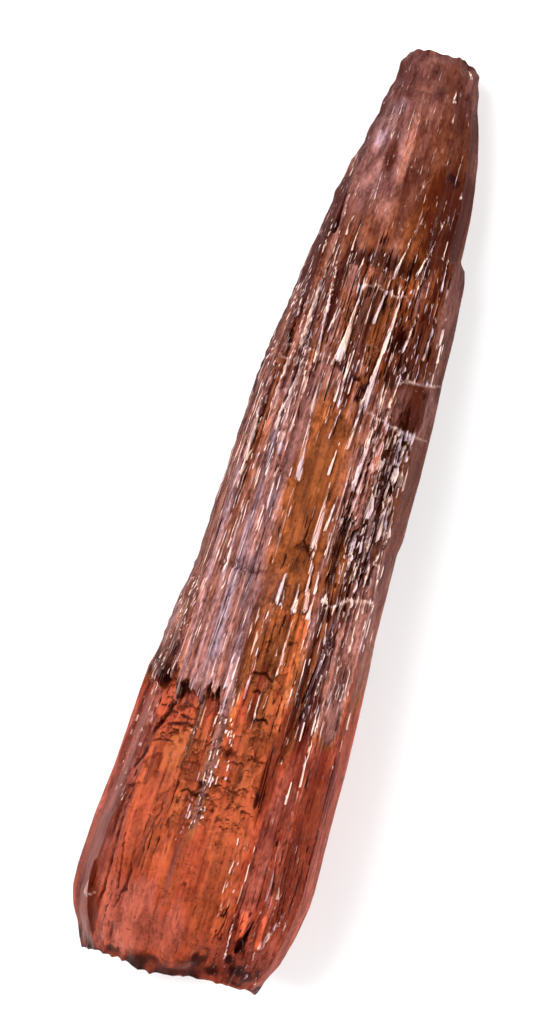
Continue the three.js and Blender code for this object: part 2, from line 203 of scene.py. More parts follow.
# Small seeded blades, pale with painted glints, and, with a negative height, dark slits: the stretch from the
# tip, the stretch across, how many, the shortest and the longest, the greatest width, the height, and how
# pale or dark
FIELDS = (
    (13.2, 26, -5.9, 5, 170, 1.4, 5, 0.13, 0.2, 0.95), (13.2, 21, -6.1, 5.2, 90, 1.4, 5, 0.17, -0.22, 1),
    (20, 27, -6.1, -2.5, 24, 1.4, 4, 0.15, -0.18, 0.8), (20, 27, -2.5, 5.2, 50, 1.4, 4, 0.17, -0.22, 1),
    (22.5, 35, -6.2, -2.6, 80, 2, 6, 0.17, 0.18, 0.8), (36, 46, 3.6, 6.4, 60, 1.2, 4, 0.15, 0.2, 0.9),
    (26.5, 36, -6.5, -5, 26, 1, 4, 0.16, -0.2, 0.9), (25, 40, 2.4, 5.8, 130, 1.2, 4, 0.2, 0.25, 0.95),
    (24.5, 33.5, 2.6, 6, 60, 1.5, 4, 0.26, 0.3, 1), (26, 41.5, 2.4, 5.7, 80, 1, 4, 0.22, -0.25, 1),
    (26, 41, -3, 2.3, 26, 1.2, 3.6, 0.11, 0.12, 0.8), (26, 41, -3, 2.3, 26, 0.6, 2.4, 0.13, -0.12, 0.8),
    (33, 47, -6.7, -1.4, 90, 3, 9, 0.12, 0.08, 0.5), (33, 47, -6.9, -1.4, 44, 3, 9, 0.12, -0.1, 0.5),
    (41, 49, -1.6, 4, 50, 1.2, 4, 0.14, 0.15, 0.75), (40, 50, 4, 7, 46, 1.2, 4, 0.15, 0.15, 0.7),
    (40, 50, -1.6, 6.6, 50, 1, 4, 0.14, -0.15, 0.8), (49.2, 58.2, -2.3, -1.1, 80, 0.3, 1, 0.19, 0.14, 1),
    (50.8, 54.8, -1, -0.35, 28, 0.3, 0.9, 0.17, 0.12, 0.9),
    (49.4, 55.8, -3.9, -3.3, 30, 0.3, 0.9, 0.16, 0.1, 0.85),
    (56.5, 60.5, -2.6, -1.8, 14, 0.3, 0.7, 0.15, 0.1, 0.6),
    (58.3, 64, 1.6, 2.5, 40, 0.4, 1, 0.16, 0.12, 0.85),
    (63.3, 66.5, 1.6, 2.5, 26, 0.4, 1.3, 0.2, -0.15, 0.95),
    (61, 64.5, 5.2, 7, 24, 0.3, 0.9, 0.16, 0.12, 0.8), (64, 69, 4.6, 6.2, 26, 0.3, 1.2, 0.17, 0.12, 0.6),
    (49.5, 63, 3, 7.2, 30, 1.5, 6, 0.1, 0.06, 0.55), (50, 66, 2.4, 7.4, 70, 2.5, 9, 0.16, -0.12, 0.75),
    (54, 67, -7.2, -3.6, 50, 2, 8, 0.13, -0.1, 0.75), (52, 67, -3.6, 2.2, 24, 1, 5, 0.1, -0.08, 0.45),
    (1, 13.5, -3.9, 4.4, 70, 0.8, 4, 0.1, 0.05, 0.5), (3, 13.5, -4.2, 4.8, 30, 1, 4, 0.14, -0.06, 0.45),
    (41, 47.5, -7.3, -5.8, 60, 0.4, 1.5, 0.14, 0.14, 0.7),
    (50.3, 58, -8.1, -7.1, 44, 0.3, 0.9, 0.16, 0.12, 0.75),
    (18.5, 26, 3.8, 6, 36, 1.2, 3.5, 0.16, 0.2, 0.9), (28.5, 36, 2, 4, 34, 1.5, 4, 0.24, 0.3, 0.95),
    (57.5, 66, -8.6, -7, 30, 1, 5, 0.13, -0.1, 0.6), (24.5, 31, -6.3, -4.6, 30, 1, 4, 0.18, -0.2, 1),
    (29, 36, 2.2, 4.2, 40, 1.2, 3.6, 0.2, 0.25, 1), (55, 67, -7, 1.5, 50, 0.6, 3, 0.09, -0.08, 0.6),
    (3, 12.5, -3.4, -0.6, 40, 0.6, 2.5, 0.1, 0.05, 0.5),
    (3, 12.5, -3.6, -0.2, 40, 0.4, 1.6, 0.11, -0.05, 0.5),
    (49.6, 52, -7.4, -5.8, 22, 0.6, 2.2, 0.13, 0.1, 0.55),
    (49.4, 52.5, -7.4, -5.4, 20, 0.6, 2, 0.12, -0.12, 0.95),
)
# Small seeded arcs that step down in the bare window, with painted shade along each step and a painted
# highlight on its lip: the stretch from the tip, the stretch across, how many, the greatest reach to each
# side and how dark the shade is
CURLS = (
    (49.5, 53.8, -6.2, -3.9, 30, 0.5, 0.9), (52.8, 58.2, -3.3, 2.1, 60, 0.55, 0.85),
    (49.3, 57, -2, 2.2, 40, 0.45, 0.6), (55.5, 66, -5.6, 1.6, 60, 0.45, 0.35),
    (36.5, 48.5, -1.4, 2.2, 30, 0.45, 0.55),
)
# Cracks that cross the crystal: the width, how pale or, when negative, how dark, then across and from the tip
# at each of its places
CRACKS = (
    (0.22, 0.46, -0.7, 18.6, 0.2, 18.3, 1.1, 18.55, 2.2, 18.45, 2.9, 18.7),
    (0.22, 0.32, -6, 23.5, -5.6, 24, -4.3, 23.95, -1.4, 24.05),
    (0.22, 0.5, 3.6, 24.4, 5.4, 24.1, 6.9, 23.6),
    (0.22, 0.36, -6, 24.4, -5.2, 24.75, -4.7, 25, -3.1, 24.9, -2.2, 25.4),
    (0.22, 0.46, 2, 27.1, 3.8, 27.6, 4.7, 27.9, 6.9, 27.8), (0.2, 0.3, 0.6, 22.4, 1.8, 22.5),
    (0.22, 0.5, 3, 41.4, 3.8, 40.9, 4.7, 40.35, 6.2, 40.05, 6.6, 40.7),
    (0.3, -0.55, -4.9, 40.2, -3.6, 40.3, -1.6, 40.1), (0.3, -0.5, -1.3, 41.9, 0.6, 42, 2.2, 41.9),
    (0.2, -0.9, -0.6, 47.2, 0.3, 47.05, 0.95, 47.35), (0.2, -0.95, -0.2, 48.5, 0.1, 48.3, 0.5, 48.6),
    (0.2, -0.95, 0.3, 50.4, 0.9, 50.15, 1.5, 50.2), (0.2, -0.8, -0.3, 37.9, 0.4, 37.3, 1.3, 38.4),
    (0.22, -0.8, 2.3, 35, 2.9, 34.7, 3.6, 35.1), (0.18, -0.7, -5.3, 50.9, -4.3, 50.7, -3.9, 51.2),
    (0.24, -0.85, -5.5, 52.2, -4.6, 52, -3.8, 52.2), (0.18, -0.85, -3.2, 56.5, -2.6, 56.3, -2, 56.6),
    (0.18, -0.7, 0.8, 53.1, 2, 52.9), (0.2, 0.4, -8.2, 66.7, -6.9, 65.5),
    (0.2, -0.35, -2.6, 3.4, -0.6, 3.6, 1.6, 3.2, 3.2, 3),
    (1.25, -0.72, -2.2, 16.7, -0.5, 16.5, 1.5, 16.4, 3.6, 16.1),
)
# Dark spots and stains: from the tip and across at the middle, the radii along and across, and how dark
STAINS = (
    (9.1, 3.2, 0.45, 0.6, 1), (9.4, 3.7, 0.5, 0.3, 0.9), (1.85, 0.05, 0.15, 0.3, 0.7),
    (14.2, 3, 1.6, 0.5, 0.6), (21.5, 2.9, 1.4, 0.5, 0.9), (23.4, 3.6, 1, 0.7, 0.7),
    (26.4, 1.1, 0.35, 0.4, 0.85), (15, -4.3, 1.5, 0.4, 0.7), (24.5, -0.7, 0.45, 1.5, 0.75),
    (24.65, -0.5, 0.4, 0.5, 1), (25.1, 0.6, 0.35, 0.6, 1), (25.6, 1.3, 0.5, 0.6, 0.9),
    (24.6, 2.9, 1, 1, 0.7), (24.6, -2.2, 0.25, 0.45, 0.7), (36, 4.6, 4, 0.9, 0.8),
    (31.5, 4.9, 3, 0.45, 0.75), (33.6, 2.6, 0.7, 0.6, 0.5), (28.2, 5, 1.2, 0.6, 0.75),
    (40.6, 3.2, 0.9, 1.2, 0.45), (34.9, 2.9, 0.25, 0.8, 0.8), (37.5, 0.7, 0.25, 0.7, 0.7),
    (31, -0.6, 1.3, 0.3, 0.4), (68.5, 1.4, 0.8, 0.9, 0.85), (67.4, 1.9, 0.5, 0.4, 0.7),
    (69.3, -2.5, 0.4, 0.9, 0.8), (69.4, -4.8, 0.45, 0.6, 0.8), (68.9, 4.8, 0.8, 1.1, 0.85),
    (68.2, 5.9, 0.9, 0.5, 0.8), (66.2, 3.9, 0.9, 0.4, 1), (55.6, 2.2, 0.9, 0.22, 0.9),
    (58.9, -3.4, 0.6, 0.25, 0.7), (57.3, -3.3, 0.4, 0.25, 0.7), (54.5, 0.7, 0.45, 0.16, 0.7),
    (37.7, 0.3, 0.4, 0.5, 0.7), (39.3, 0.2, 0.5, 0.6, 0.5), (45, -1.9, 1.2, 0.14, 0.7),
    (49.9, -5.5, 0.8, 0.35, 0.9), (52.4, -6.2, 0.8, 0.35, 0.8), (48.2, -7.65, 1.7, 0.75, 1),
    (48.6, -7.1, 1.5, 0.45, 1), (49, -6.5, 1.1, 0.4, 0.9), (47, -6.3, 1, 0.35, 0.7),
    (49.4, -4.9, 0.6, 0.6, 0.9), (49.5, -2.9, 0.5, 0.8, 0.85), (51.2, -5.8, 0.9, 0.4, 0.9),
    (51, -5, 0.35, 0.4, 0.7), (54.6, -6.6, 0.5, 0.4, 0.8), (58.5, 5.6, 3.5, 0.7, 0.35),
    (69.3, 3.8, 0.6, 1.6, 0.6), (67.9, 3.5, 0.9, 0.5, 1), (68.8, 4.1, 0.9, 0.7, 1),
    (69.3, 2.6, 0.5, 0.9, 0.9), (68.8, 0.6, 0.4, 0.6, 0.7), (13, 4.4, 2.6, 0.6, 0.6),
    (22, -5.6, 4.5, 0.4, 0.6),
)
# Patches of colour, each painted over those before: from the tip and across at the middle, the radii along
# and across, the tone from dark to light, and the hue: -0.4 lilac, 0 mauve, 0.5 amber, 1 red and 1.5 rose
PATCHES = (
    (6.5, -2.4, 8.5, 2.9, 0.25, 0.04), (7, 2.6, 7.5, 2.9, 0.13, 0.3), (11.5, 0.9, 4, 1.1, 0.1, 0.26),
    (12.5, 3.6, 4.5, 2.2, 0.035, 0.6), (2, 0, 3, 3.6, 0.14, 0.12), (1, -0.8, 0.9, 1.4, 0.2, 0.08),
    (1.8, 1.5, 2.6, 1.2, 0.09, 0.25), (2, 3.1, 2.5, 0.6, 0.24, 0.1), (3.3, -0.9, 0.12, 1.5, 0.3, 0.2),
    # The pale lilac patches on the left, 5 to 11 mm from the tip, are a painted sheen
    (6.8, -2.6, 2.6, 0.7, 0.42, -0.15), (8.2, -2.45, 1.5, 0.4, 0.8, -0.3),
    (7.3, -3.4, 3.5, 0.3, 0.12, 0.05), (5, -1.7, 0.7, 0.5, 0.5, -0.2), (10.8, -2.6, 3.2, 0.8, 0.44, -0.05),
    (9.4, -0.3, 4.8, 0.26, 0.4, 0.2), (8.9, -1.4, 1.3, 0.45, 0.07, 0.2), (13.2, -1.2, 1.4, 0.7, 0.4, 0.1),
    (12.5, -4.2, 2.5, 0.7, 0.09, 0.15), (4.5, -3, 2.5, 0.35, 0.1, 0.1), (18, -2, 5.5, 2.8, 0.25, 0.33),
    (17.5, -4.9, 3.5, 0.9, 0.1, 0.3), (19, 1.6, 6.5, 1.6, 0.22, 0.5), (19, 4.3, 3, 0.9, 0.14, 0.6),
    (17.5, 4.3, 1.7, 0.6, 0.42, 0.5), (22, 3.1, 3.5, 1, 0.1, 0.5), (22.5, -1, 2.6, 1, 0.19, 0.4),
    (23, -4.2, 4.5, 2.2, 0.4, 0.18), (24, 4.6, 5, 1.6, 0.1, 0.4), (34.5, -0.2, 9.5, 2.3, 0.38, 0.5),
    (31, -4.8, 8.5, 2.3, 0.64, 0.2), (28, -5.6, 3, 0.7, 0.36, 0), (29, 6.7, 9, 1.3, 0.22, 0.3),
    (29, -2.9, 4.5, 1, 0.54, 0.2), (37, -3.4, 8, 1.5, 0.48, 0.16), (37, -5.7, 6, 0.9, 0.46, -0.2),
    (33, 4.2, 8.5, 1.6, 0.17, 0.35), (32, 3, 5, 1, 0.5, 0.2), (25.7, 5.6, 2.2, 2, 0.4, 0),
    (24.9, 5.25, 1, 1, 0.04, 0.3), (25.8, 5.2, 1.2, 1, 0.035, 0.35), (26.8, 5.15, 1, 1, 0.04, 0.3),
    (38.5, 2.9, 3.6, 0.8, 0.33, 0.55), (36, -6.7, 6, 0.5, 0.13, 0.3), (43, -4.6, 6.5, 2.6, 0.39, -0.02),
    (43, -2.4, 4, 0.9, 0.31, 0.02), (41, -7, 5, 0.8, 0.1, 0.1), (47, -3.3, 2.4, 0.9, 0.36, 0),
    (43.5, -0.8, 4.5, 1, 0.2, 0.3), (46.5, 1.3, 6, 1.6, 0.38, 0.6), (46, 3.4, 7, 0.9, 0.14, 0.4),
    (47, 3.9, 5, 0.4, 0.3, -0.35), (44.5, 5.4, 6, 1.1, 0.56, 0.12), (46, 7.3, 8, 0.6, 0.23, 0.25),
    (44.5, -7.3, 5.5, 0.9, 0.15, 0.3), (46.7, -2.2, 1.9, 0.4, 0.46, -0.35), (60, -1.8, 14, 5.4, 0.43, 0.82),
    (52, 1, 6, 1.6, 0.44, 0.75), (46.3, -1.1, 3.6, 0.7, 0.16, 0.5), (60, 5.9, 13, 2.6, 0.22, 1.15),
    (52.8, 2.6, 4.5, 0.6, 0.14, 0.85), (60, 3.6, 5.5, 0.65, 0.31, 1.35), (57, 6, 7, 0.9, 0.14, 0.85),
    (52, 7.7, 6, 0.8, 0.15, 1.2), (48.3, 5.6, 3.2, 1.3, 0.42, 0.05), (58, -8.9, 12, 2.1, 0.1, 1.35),
    (50.9, -6.2, 2.2, 0.65, 0.62, 0.95), (57.2, -6.2, 3, 0.26, 0.6, 0.8), (54, -4.5, 1.9, 0.9, 0.64, 0.7),
    (52.6, -2.8, 1.5, 0.5, 0.55, 0.75), (53.5, -1.7, 5.5, 0.6, 0.42, 0.15),
    (51.8, -3.6, 3.5, 0.28, 0.36, 0.3), (58.6, 0.4, 2.4, 0.8, 0.6, 0.8), (62, -0.8, 3.2, 0.9, 0.34, 0.95),
    (60, -3.3, 5.5, 0.7, 0.55, 0.85), (57.2, -3.1, 2.2, 0.6, 0.64, 0.75), (60.5, -5.6, 4, 0.7, 0.5, 0.9),
    (66.3, -4.2, 3.4, 3.6, 0.62, 1.3), (66.8, -1.5, 2.4, 2, 0.38, 1.25), (62, -2.2, 3.5, 0.25, 0.3, 1.5),
    (67.4, -8, 3.4, 2.1, 0.06, 0.95), (67.5, 4.6, 2.8, 2.4, 0.19, 1.2), (64.7, 3.7, 1.5, 0.25, 0.75, 1),
    (64.6, 5.05, 1.4, 0.2, 0.7, 1), (69.8, 0, 0.9, 7, 0.2, 1.15),
)


def along(points, x):
    """The value at x of a line through (x, value) points."""
    return np.interp(x, *zip(*points))


def smooth(low, high, x):
    """A smooth step from 0 at low to 1 at high, which may be the smaller number."""
    share = np.clip((x - low) / (high - low), 0, 1)
    return share * share * (3 - 2 * share)


def band(start, full, fading, end, x):
    """A smooth rise from 0 at start to 1 at full, and a smooth fall from fading to 0 at end."""
    return smooth(start, full, x) * (1 - smooth(fading, end, x))


def mix(a, b, share):
    """The value that lies a share of the way from a to b."""
    return a + (b - a) * share


def chance(a, b=0.0):
    """A repeatable number from 0 to 1 for whole numbers a and b."""
    wave = np.sin(a * 127.1 + b * 311.7) * 43758.5453
    return wave - np.floor(wave)


def noise(x, y, seed=0):
    """Smooth value noise from 0 to 1 over a plane."""
    ix, iy = np.floor(x), np.floor(y)
    fx, fy = x - ix, y - iy
    fx, fy = fx * fx * (3 - 2 * fx), fy * fy * (3 - 2 * fy)
    ix = ix + seed * 17.0
    low = mix(chance(ix, iy), chance(ix + 1, iy), fx)
    high = mix(chance(ix, iy + 1), chance(ix + 1, iy + 1), fx)
    return mix(low, high, fy)


def cells(x, y, seed=0):
    """A plane broken into cells: how far each place is from its cell's border, and the cell's own chance."""
    ix, iy = np.floor(x), np.floor(y)
    nearest, second, own = np.full_like(x, 9.0), np.full_like(x, 9.0), np.zeros_like(x)
    for right in (-1, 0, 1):
        for up in (-1, 0, 1):
            cx, cy = ix + right, iy + up
            off = np.hypot(cx + chance(cx + seed, cy) - x, cy + chance(cx, cy + seed + 7) - y)
            second = np.minimum(second, np.maximum(nearest, off))
            own = np.where(off < nearest, chance(cx + 3 * seed, cy + 5), own)
            nearest = np.minimum(nearest, off)
    return second - nearest, own


def blurred(values, reach):
    """The mean of each value's neighbours, so many lines and rings to each side."""
    count, steps = values.shape[0], range(-reach, reach + 1)
    total = sum(np.roll(values, k, 1) for k in steps) / len(steps)
    padded = np.pad(total, ((reach, reach), (0, 0)), mode="edge")
    return sum(padded[reach + k:reach + k + count] for k in steps) / len(steps)


class Surface:
    """The crystal's side as arrays, with a row for each ring and a column for each line along it."""

    def __init__(self, rings):
        places, parts = zip(*RING_PARTS)
        from_tip = np.interp(np.linspace(parts[-1], 0, rings), parts, places)
        width_left, width_right = along(LEFT_WIDTH, from_tip), along(RIGHT_WIDTH, from_tip)
        low, high = along(UNDERSIDE, from_tip), along(HEIGHT, from_tip)
        share = from_tip / LENGTH
        upper, lower = np.clip(share * 2, 0, 1), np.clip(share * 2 - 1, 0, 1)
        corners = []
        for tip, middle, base, _ in CORNERS:
            side, up = (mix(mix(tip[k], middle[k], upper), base[k], lower) for k in range(2))
            width = np.where(side < 0, width_left, width_right)
            corners.append(np.stack([side * width, low + up * (high - low)], 1))
        corners = np.stack(corners)
        following = np.roll(corners, -1, 0)
        ways = following - corners
        ways /= np.linalg.norm(ways, axis=2, keepdims=True)
        points, turned = [], []
        for n, (_, _, _, lines) in enumerate(CORNERS):
            way_before, way, way_after = ways[n - 1], ways[n], ways[(n + 1) % len(CORNERS)]
            for share in np.arange(lines) / lines:
                points.append(mix(corners[n], following[n], share))
                # Near a corner, the way along the section turns halfway into the next face's
                before, after = max(ROUNDED - share, 0), max(share - 1 + ROUNDED, 0)
                turned.append(way + (before * (way_before - way) + after * (way_after - way)) / (2 * ROUNDED))
        self.point = np.stack(points, 1)
        way = np.stack(turned, 1)
        way /= np.linalg.norm(way, axis=2, keepdims=True)
        self.out = np.stack([-way[..., 1], way[..., 0]], 2)
        self.from_tip = np.repeat(from_tip[:, None], self.point.shape[1], 1)
        self.across = self.point[..., 0]
        # The distance round the section from the crest keeps a pattern's scale on every face
        step = np.linalg.norm(np.roll(self.point, -1, 1) - self.point, axis=2)
        crest = sum(corner[3] for corner in CORNERS[:3])
        travel = np.cumsum(step, 1) - step
        travel -= travel[:, crest:crest + 1]
        around = step.sum(1, keepdims=True)
        travel = np.where(travel > around / 2, travel - around, travel)
        self.arc = np.where(travel < -around / 2, travel + around, travel)
        # Masks: the faces seen from above, the face it lies on, all but the ends, and the steep flanks
        self.front = smooth(0.05, 0.4, self.out[..., 1])
        self.rests = smooth(0.9, 1, -self.out[..., 1])
        self.ends = band(0, 3, LENGTH - 2, LENGTH, self.from_tip)
        self.flank = smooth(0.75, 0.95, np.abs(self.out[..., 0]))

    def noise(self, wide, long, seed):
        """Noise on the surface, in patches so wide and so long."""
        return noise(self.arc / wide, self.from_tip / long, seed)


class Block:
    """The rings of a surface between two distances from the tip, for a mark that reaches over only those."""

    def __init__(self, s, first, last):
        rings = np.flatnonzero((s.from_tip[:, 0] > first) & (s.from_tip[:, 0] < last))
        self.rings = slice(rings[0], rings[-1] + 1) if len(rings) else slice(0, 0)
        self.from_tip, self.across = s.from_tip[self.rings], s.across[self.rings]
        self.front = s.front[self.rings]

    def lift(self, mask, values):
        """Raises a mask of the whole surface to the values on these rings where it is lower."""
        mask[self.rings] = np.maximum(mask[self.rings], values)


def bare_window(s):
    """How much the skin is gone at each place, and how far the bare surface lies below it."""
    t, a = s.from_tip, s.across
    ragged = 0.6 * (s.noise(0.45, 0.7, 9) - 0.5)
    feathers = 2.2 * (s.noise(0.2, 9, 23) - 0.5) * smooth(0.25, 0.5, noise(s.arc / 1.1, 0, 25))
    past = t - along(SKIN_EDGE, a) + ragged + feathers
    window = (1 - smooth(1.6, 3, a)) * smooth(0, 0.4, past) * s.front
    below = np.maximum(0.2, 0.65 - 0.04 * np.maximum(past, 0))
    depth = window * below * (1 - 0.75 * smooth(-2.4, -1.0, a))
    for t0, a0, t1, a1, width, deep in RECESSES:
        run = (t - t0) / (t1 - t0)
        wide = 0.5 * width * np.sqrt(np.clip(run * 6, 0, 1)) + 0.9 * (noise(t / 1.6, s.arc / 0.6, 17) - 0.5)
        off = np.abs(a - mix(a0, a1, np.clip(run, 0, 1))) - wide
        inside = (1 - smooth(-0.1, 0.1, off)) * smooth(-0.01, 0.02, run + 0.05 * ragged) * s.front
        inside = inside * (1 - smooth(0.75, 1, run))
        window = np.maximum(window, inside * 0.8)
        depth = np.maximum(depth, inside * deep)
    return window, depth


def smooth_plate(s):
    """1 on the unmarked plate at the right, between two healed cracks."""
    ragged = 0.3 * (s.noise(0.3, 0.8, 65) - 0.5)
    return smooth(3.7, 3.9, s.across + ragged) * band(23.8, 24.1, 27.4, 27.8, s.from_tip) * s.front


def add_stains(s, dark):
    """Adds the dark spots and stains, which are ovals with ragged rims."""
    for t, a, tall, wide, darkness in STAINS:
        b = Block(s, t - 1.6 * tall, t + 1.6 * tall)
        ragged = 0.7 * (noise(b.across / 0.22, b.from_tip / 0.7, 61) - 0.5)
        off = np.hypot((b.from_tip - t) / tall, (b.across - a) / wide) + ragged
        b.lift(dark, darkness * (1 - smooth(0.3, 1.15, off)) * b.front)


def scattered():
    """The blades and slits of the seeded fields, as rows like those of the placed ones."""
    made = np.random.default_rng(5)
    for first, last, left, right, count, shortest, longest, width, height, strength in FIELDS:
        for _ in range(count):
            roll = made.random(7)
            t, a = mix(first, last, roll[0]), mix(left, right, roll[1])
            long = mix(shortest, longest, roll[2] ** 2)
            a_end = a * (1 + 0.006 * long) + 0.12 * (roll[3] - 0.5) * long
            width_here, height_here = width * mix(0.4, 1, roll[4]), height * mix(0.4, 1, roll[5])
            yield t, a, t + long, a_end, width_here, height_here, strength * smooth(0.1, 0.7, roll[6])


def add_blades(s, move, pale, dark):
    """Raises the pale blades, each with a shade along its right side, and cuts the dark grooves and slits."""
    for t0, a0, t1, a1, width, height, strength in (*scattered(), *GROOVES, *BLADES):
        b = Block(s, t0, t1)
        run = (b.from_tip - t0) / (t1 - t0)
        off = b.across - mix(a0, a1, np.clip(run, 0, 1))
        # It widens from a point to a ragged, blunt end
        ragged = 0.16 * (noise(b.across / 0.14, t0, 63) - 0.5)
        reach = 0.5 * width * np.clip(run / 0.85, 0, 1) * (1 - smooth(0.93, 0.99, run + ragged)) + THINNEST
        body = np.clip(1 - np.abs(off) / reach, 0, 1) * b.front
        move[b.rings] += height * body
        # A blade's pale is a painted glint on its walls, and the dark beside a raised blade is painted shade
        colour = strength * smooth(0.03, 0.35, body)
        if height > 0:
            beside = 1 - smooth(0.03, 0.11, np.abs(off - reach - 0.04))
            shade = beside * band(0.15, 0.4, 0.9, 1, run) * b.front
            pale[b.rings] = np.maximum(pale[b.rings] * (1 - 0.8 * shade), colour)
            dark[b.rings] = np.maximum(dark[b.rings] * (1 - colour), 0.6 * strength * shade)
        else:
            b.lift(dark, colour)
            pale[b.rings] *= 1 - colour


def add_cracks(s, move, dark, healed):
    """Adds the thin lines across the front: healed cracks are raised and pale, open ones dark and cut in."""
    for width, paleness, *places in CRACKS:
        a, t = places[::2], places[1::2]
        b = Block(s, min(t) - 0.6, max(t) + 0.6)
        off = np.abs(b.from_tip - np.interp(b.across, a, t) - 0.3 * (noise(b.across / 0.4, 0, 71) - 0.5))
        inside = band(a[0] - 0.2, a[0] + 0.1, a[-1] - 0.1, a[-1] + 0.2, b.across)
        line = inside * (1 - smooth(0.2 * width, width, off)) * b.front
        if paleness > 0:
            b.lift(healed, paleness * line * mix(0.5, 1, noise(b.across / 0.6, 0, 72)))
            dark[b.rings] *= 1 - 0.7 * line
            move[b.rings] += 0.05 * line
        else:
            b.lift(dark, -paleness * line)
            move[b.rings] -= 0.12 * line


def add_arcs(s, move, dark):
    """Cuts the seeded arcs, small steps down with a dark line of painted shade, and returns a painted
    highlight on each lip.
    """
    lip_highlights = np.zeros_like(move)
    made = np.random.default_rng(8)
    for first, last, left, right, count, reach, darkness in CURLS:
        for _ in range(count):
            roll = made.random(6)
            at, middle = mix(first, last, roll[0]), mix(left, right, roll[1])
            half, bulge = reach * mix(0.4, 1, roll[2]), mix(-0.2, 0.7, roll[3])
            b = Block(s, at - 1.3, at + 0.6)
            off = (b.across - middle) / half
            wave = 0.3 * (noise(b.across / 0.18, at, 81) - 0.5)
            past = b.from_tip - at + bulge * half * (1 - off * off) * 1.4 + wave
            inside = (1 - smooth(0.7, 1, np.abs(off))) * b.front
            move[b.rings] -= 0.1 * inside * band(-0.06, 0.06, 0.1, 0.9, past)
            # Painted shade: a dark line along each step. Painted highlight: the lip just before it.
            line = inside * (1 - smooth(0.02, 0.13, np.abs(past)))
            b.lift(dark, line * darkness * mix(0.5, 1, roll[4]))
            b.lift(lip_highlights, inside * band(-0.4, -0.1, -0.1, 0, past) * mix(0.4, 1, roll[5]))
    return lip_highlights


def sculpt(s, sizes):
    """How far each place moves out, in millimetres, and the masks that its finish follows."""
    t = s.from_tip
    window, depth = bare_window(s)
    skin = 1 - window
    left_flank = s.flank * (s.across < 0)
    # The prism's plates and striations, and the shingles of the bare window
    plates = noise(s.arc / 1.6 + 0.6 * s.noise(1, 9, 19), t / 11, 11)
    striae = s.noise(0.42, 24, 51) + 0.5 * s.noise(0.17, 14, 53) - 0.75
    bend = 0.9 * s.noise(0.7, 0.7, 77)
    border, shingle = cells(s.arc / 1.2 + bend, t / 1.5 + 0.5 * s.arc + bend, 3)
    shingled = window * smooth(40, 46, t) * mix(1, 0.4, smooth(56, 62, t))
    move = sizes.plate_relief * (plates - 0.5) + sizes.stria_relief * striae * (0.35 + 0.65 * skin)
    move += 0.05 * (s.noise(0.2, 0.8, 5) - 0.5) + 0.2 * (shingle - 0.5) * shingled
    move += 0.3 * (noise(s.arc / 0.75 + bend, t / 6, 41) - 0.5) * window * smooth(46, 50, t)
    # The chipped base and tip, and the splintered left flank
    move += smooth(66.5, 69.5, t) * (0.5 * s.noise(1.2, 1.4, 31) + 0.3 * s.noise(0.5, 0.5, 33) - 0.4)
    move += (1 - smooth(0.2, 2.2, t)) * (0.3 * s.noise(0.8, 0.9, 37) + 0.2 * s.noise(0.35, 0.35, 38) - 0.12)
    splinters = 0.22 * s.noise(0.7, 1.6, 35) + 0.22 * s.noise(0.4, 0.45, 36) - 0.2
    move += left_flank * band(12, 18, 47, 50, t) * splinters
    pale, dark, healed = (np.zeros_like(move) for _ in range(3))
    add_stains(s, dark)
    add_blades(s, move, pale, dark)
    marked = 1 - smooth_plate(s)
    pale *= marked
    dark *= marked
    add_cracks(s, move, dark, healed)
    lip_highlights = add_arcs(s, move, dark)
    move = move * (1 - s.rests) * mix(0.4, 1, s.ends) * (1 - 0.55 * s.flank) - depth
    knobbly = (1 - smooth(2.8, 5, t)) + 0.5 * left_flank * (1 - smooth(13, 15, t))
    move += 0.32 * knobbly * (1 - s.rests) * (s.noise(0.9, 0.8, 37) - 0.6)
    # Dark are also the hollows, whose darkening is painted shade, the shingles' rims and the chips of the
    # base
    # Painted shade: places lower than the mean of their neighbours are darkened
    hollow = smooth(0.04, 0.3, blurred(move, 4) - move)
    rim = (1 - smooth(0.02, 0.14, border)) * smooth(0.35, 0.6, s.noise(0.8, 0.9, 79)) * shingled
    chips = s.noise(0.9, 0.5, 34) + 0.5 * s.noise(0.3, 0.3, 40)
    chipped = smooth(68.4, 69.7, t + 1.2 * chips - 0.9) * smooth(0.3, 0.6, s.noise(1.1, 0.6, 39))
    for shade in (0.7 * hollow * (1 - pale), 0.5 * rim, 0.85 * chipped):
        dark = np.maximum(dark, shade)
    streaks = 0.45 + 0.55 * smooth(0.2, 0.6, s.noise(0.11, 5, 91))
    tone, hue, fibre = painted(s, skin)
    # The shingles differ in tone, and the arcs' lips get a painted highlight
    tone *= (1 + 0.6 * (shingle - 0.45) * shingled) * (1 + 0.45 * lip_highlights)
    return move, {
        "bare": window, "pale": np.clip(pale * streaks, 0, 1), "dark": np.clip(dark, 0, 1),
        "tone": np.clip(tone, 0, 1), "hue": hue, "fibre": fibre * skin, "healed": healed,
    }


